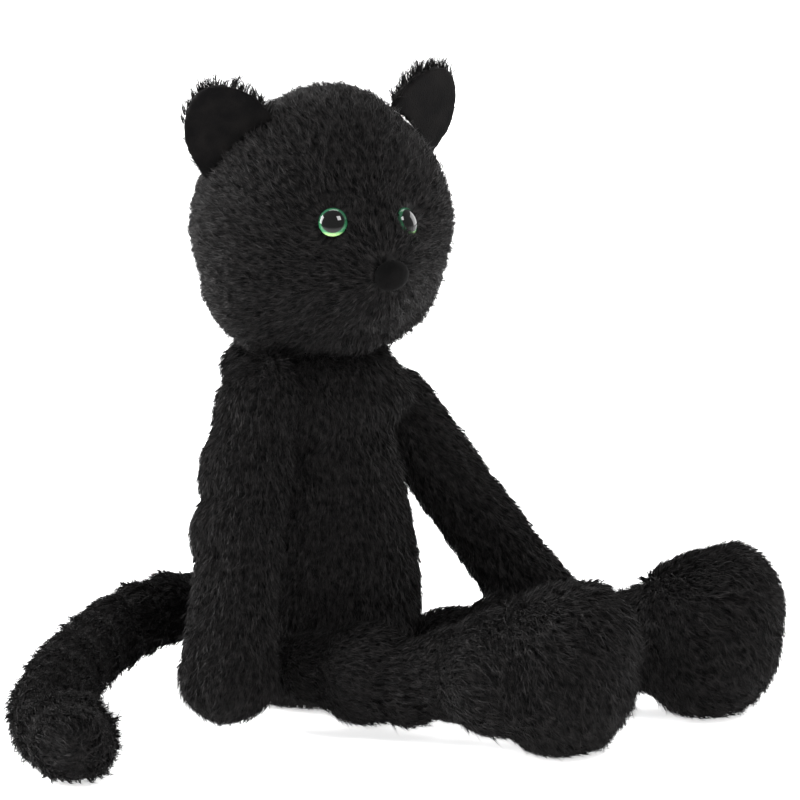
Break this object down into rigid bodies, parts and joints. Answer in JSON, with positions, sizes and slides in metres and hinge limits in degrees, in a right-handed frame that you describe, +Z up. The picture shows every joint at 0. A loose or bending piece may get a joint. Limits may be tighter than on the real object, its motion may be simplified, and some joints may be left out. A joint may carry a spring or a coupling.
{
  "type": "plush cat",
  "caption": "Sitting long-limbed plush cat with a round head, upright ears, bead eyes, a velvet nose, big fluffy feet and a long tail; its head, limbs, tail and ears move.",
  "frame": {"origin": "middle of the flat seat panel, on the floor", "axes": "+Z up; the cat faces -Y and its left side is at +X"},
  "size_m": [0.2932, 0.2353, 0.2524],
  "materials": {
    "black_plush": "deep pile",
    "black_velvet": "short smooth nap",
    "white_filling": "fluffed fibre",
    "bean_cloth": "plain weave",
    "clear_eye": "polished clear",
    "green_iris": "painted",
    "washer_plastic": "moulded"
  },
  "bodies": {
    "torso": {"torso_front_cover": "black_plush", "torso_back_cover": "black_plush", "seat_panel": "black_plush", "seat_bean_bag": "bean_cloth", "torso_stuffing": "white_filling"},
    "neck": {"neck_stuffing": "white_filling"},
    "head": {"head_face_cover": "black_plush", "head_back_cover": "black_plush", "head_stuffing": "white_filling", "nose_pad": "black_velvet", "eye_iris_and_post_L": "green_iris", "eye_lens_L": "clear_eye", "eye_washer_L": "washer_plastic", "eye_iris_and_post_R": "green_iris", "eye_lens_R": "clear_eye", "eye_washer_R": "washer_plastic"},
    "tail_base": {"tail_base_cover": "black_plush", "tail_base_stuffing": "white_filling"},
    "tail_tip": {"tail_tip_cover": "black_plush", "tail_tip_stuffing": "white_filling"},
    "upper_arm_R": {"arm_upper_cover_R": "black_plush", "arm_upper_stuffing_R": "white_filling"},
    "lower_arm_R": {"arm_lower_cover_R": "black_plush", "arm_lower_stuffing_R": "white_filling", "hand_bean_bag_R": "bean_cloth"},
    "upper_leg_R": {"leg_upper_cover_R": "black_plush", "leg_upper_stuffing_R": "white_filling"},
    "lower_leg_R": {"leg_lower_cover_R": "black_plush", "leg_lower_stuffing_R": "white_filling", "foot_bean_bag_R": "bean_cloth"},
    "ear_R": {"ear_back_R": "black_plush", "ear_lining_R": "black_velvet"},
    "upper_arm_L": {"arm_upper_cover_L": "black_plush", "arm_upper_stuffing_L": "white_filling"},
    "lower_arm_L": {"arm_lower_cover_L": "black_plush", "arm_lower_stuffing_L": "white_filling", "hand_bean_bag_L": "bean_cloth"},
    "upper_leg_L": {"leg_upper_cover_L": "black_plush", "leg_upper_stuffing_L": "white_filling"},
    "lower_leg_L": {"leg_lower_cover_L": "black_plush", "leg_lower_stuffing_L": "white_filling", "foot_bean_bag_L": "bean_cloth"},
    "ear_L": {"ear_back_L": "black_plush", "ear_lining_L": "black_velvet"}
  },
  "joints": [
    {"name": "head_turn", "type": "hinge", "parent": "torso", "child": "neck", "pos_m": [0, -0.004, 0.138], "axis": [0, 0, 1], "range_deg": [-50, 60]},
    {"name": "head_nod", "type": "hinge", "parent": "neck", "child": "head", "pos_m": [0, -0.004, 0.138], "axis": [0.9397, -0.342, 0], "range_deg": [-15, 15]},
    {"name": "shoulder_swing_R", "type": "hinge", "parent": "torso", "child": "upper_arm_R", "pos_m": [-0.03825, -0.01171, 0.12595], "axis": [-1, 0, 0], "range_deg": [-12, 110]},
    {"name": "elbow_R", "type": "hinge", "parent": "upper_arm_R", "child": "lower_arm_R", "pos_m": [-0.05536, -0.0193, 0.07797], "axis": [-1, 0, 0], "range_deg": [-15, 45]},
    {"name": "shoulder_swing_L", "type": "hinge", "parent": "torso", "child": "upper_arm_L", "pos_m": [0.04256, -0.0073, 0.11321], "axis": [-1, 0, 0], "range_deg": [-30, 70]},
    {"name": "elbow_L", "type": "hinge", "parent": "upper_arm_L", "child": "lower_arm_L", "pos_m": [0.06185, -0.03045, 0.07144], "axis": [-1, 0, 0], "range_deg": [-20, 45]},
    {"name": "hip_R", "type": "hinge", "parent": "torso", "child": "upper_leg_R", "pos_m": [-0.03753, -0.04089, 0.02437], "axis": [0.9336, 0.3584, 0], "range_deg": [-35, 45]},
    {"name": "knee_R", "type": "hinge", "parent": "upper_leg_R", "child": "lower_leg_R", "pos_m": [-0.0225, -0.08006, 0.0225], "axis": [0.9135, 0.4067, 0], "range_deg": [-20, 22]},
    {"name": "hip_L", "type": "hinge", "parent": "torso", "child": "upper_leg_L", "pos_m": [0.02993, -0.04823, 0.02428], "axis": [0.8481, 0.5299, 0], "range_deg": [-35, 60]},
    {"name": "knee_L", "type": "hinge", "parent": "upper_leg_L", "child": "lower_leg_L", "pos_m": [0.05217, -0.08382, 0.0225], "axis": [0.8191, 0.5736, 0], "range_deg": [-20, 25]},
    {"name": "tail_root", "type": "hinge", "parent": "torso", "child": "tail_base", "pos_m": [0, 0.05815, 0.02811], "axis": [0, 0, 1], "range_deg": [-60, 4]},
    {"name": "tail_bend", "type": "hinge", "parent": "tail_base", "child": "tail_tip", "pos_m": [-0.1118, 0.02285, 0.01411], "axis": [0, 0, 1], "range_deg": [-30, 30]},
    {"name": "ear_fold_R", "type": "hinge", "parent": "head", "child": "ear_R", "pos_m": [-0.03367, 0.00326, 0.22676], "axis": [0.6169, -0.6232, 0.4808], "range_deg": [-18, 18]},
    {"name": "ear_fold_L", "type": "hinge", "parent": "head", "child": "ear_L", "pos_m": [0.03367, -0.02126, 0.22676], "axis": [0.8731, 0.0809, -0.4808], "range_deg": [-18, 18]}
  ]
}
